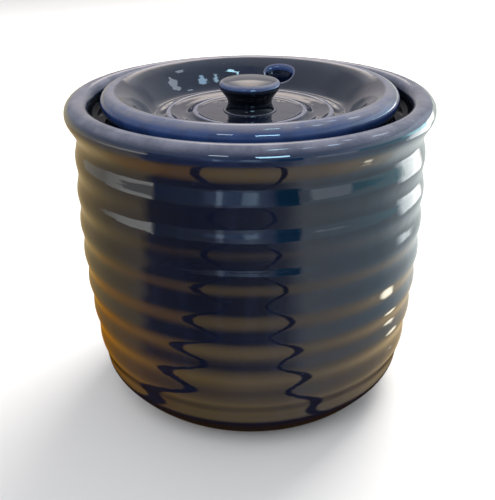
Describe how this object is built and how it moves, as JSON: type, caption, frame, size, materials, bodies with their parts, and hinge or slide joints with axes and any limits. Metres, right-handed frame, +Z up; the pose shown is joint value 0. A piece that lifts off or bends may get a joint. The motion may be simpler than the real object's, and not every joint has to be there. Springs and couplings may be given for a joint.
{
  "type": "yarn bowl",
  "caption": "Round lidded yarn bowl: a ribbed glazed stoneware crock whose sunken dish lid has a pinch knob and an oval yarn hole, lifting off to load a ball of yarn.",
  "frame": {"origin": "middle of the foot, on the surface that the bowl stands on", "axes": "+Z up along the pot's turning axis; +Y away from the front; the yarn hole in the lid lies 73 degrees anticlockwise from +X, towards the back"},
  "size_m": [0.18, 0.18, 0.1658],
  "materials": {
    "cobalt_glaze": "glossy dark cobalt glaze over stoneware, breaking to lavender grey on edges"
  },
  "bodies": {
    "crock": {"crock_body": "cobalt_glaze"},
    "lid": {"lid": "cobalt_glaze", "lid_knob": "cobalt_glaze"}
  },
  "joints": [
    {"name": "lid_lift", "type": "slide", "parent": "crock", "child": "lid", "axis": [0, 0, 1], "range_m": [0, 0.12]}
  ]
}
